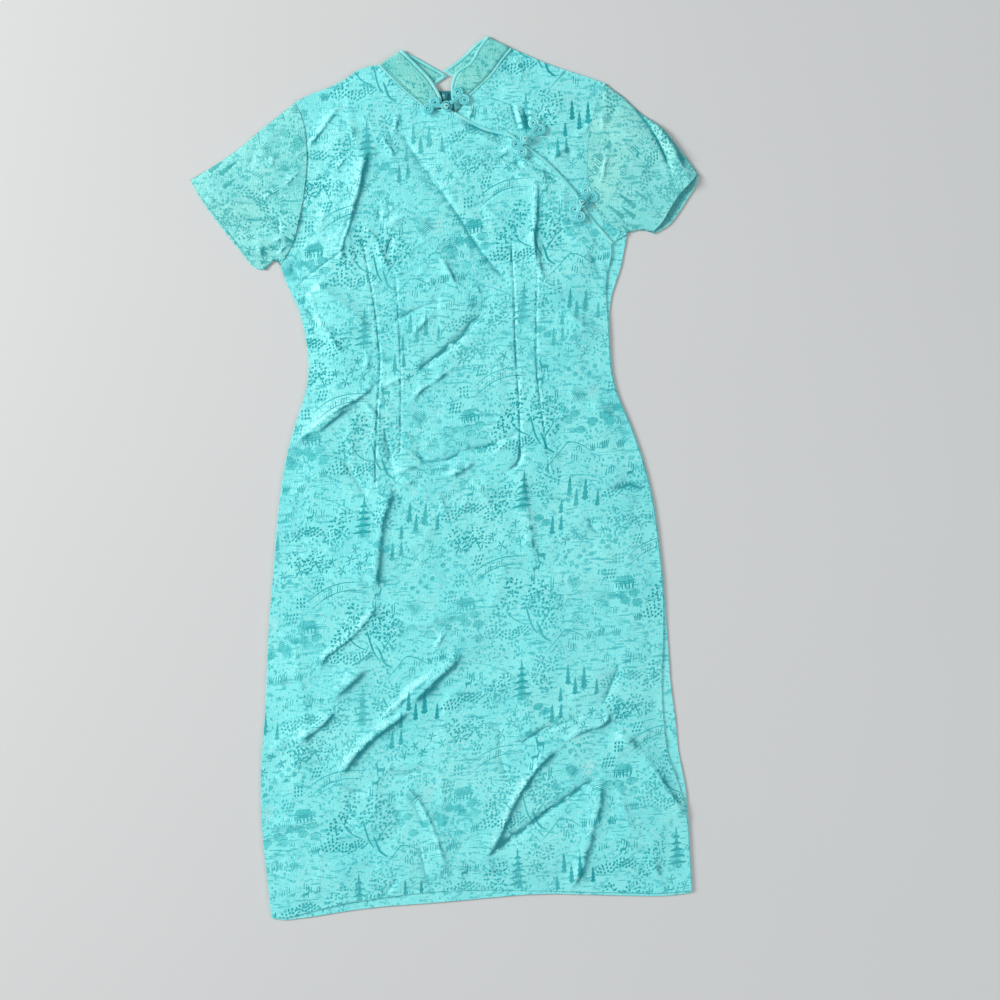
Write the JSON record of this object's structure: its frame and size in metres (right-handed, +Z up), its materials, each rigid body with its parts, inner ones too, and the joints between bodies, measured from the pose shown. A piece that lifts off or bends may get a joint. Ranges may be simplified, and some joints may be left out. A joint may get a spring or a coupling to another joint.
{
  "type": "cheongsam dress",
  "caption": "Short-sleeved knee-length cheongsam laid flat, front up: stand collar open at front and back, diagonal closing edge with frogs, darted front and a centre back zip.",
  "frame": {"origin": "middle of the dress's bounding box, on the surface that it lies on", "axes": "+Y up the garment's centre line from hem to collar, +X to the right of someone who looks down on the front, +Z up off the surface"},
  "size_m": [0.6342, 1.0905, 0.0147],
  "materials": {
    "satin_damask": "aqua figured satin, soft sheen, landscape damask a little darker than the ground",
    "collar_satin": "the same satin, stiffened, greener and duller on its inside",
    "binding": "bias-cut satin over a cord, smooth sheen",
    "frog_cord": "rolled bias cord of plain satin, coiled and knotted",
    "zip_tape": "dull woven teal tape",
    "zip_metal": "teal enamelled metal, matched to the tape"
  },
  "bodies": {
    "root": {"back_left": "satin_damask", "back_right": "satin_damask", "closing_piping": "binding", "collar_left": "collar_satin", "collar_piping_left": "binding", "collar_piping_right": "binding", "collar_right": "collar_satin", "frog_chest_knot": "frog_cord", "frog_chest_loop": "frog_cord", "frog_neck_knot": "frog_cord", "frog_neck_loop": "frog_cord", "frog_side_knot": "frog_cord", "frog_side_loop": "frog_cord", "front": "satin_damask", "front_yoke": "satin_damask", "neck_piping_left": "binding", "neck_piping_right": "binding", "sleeve_left": "satin_damask", "sleeve_right": "satin_damask", "zip_slider": "zip_metal", "zip_tape": "zip_tape"}
  },
  "joints": []
}
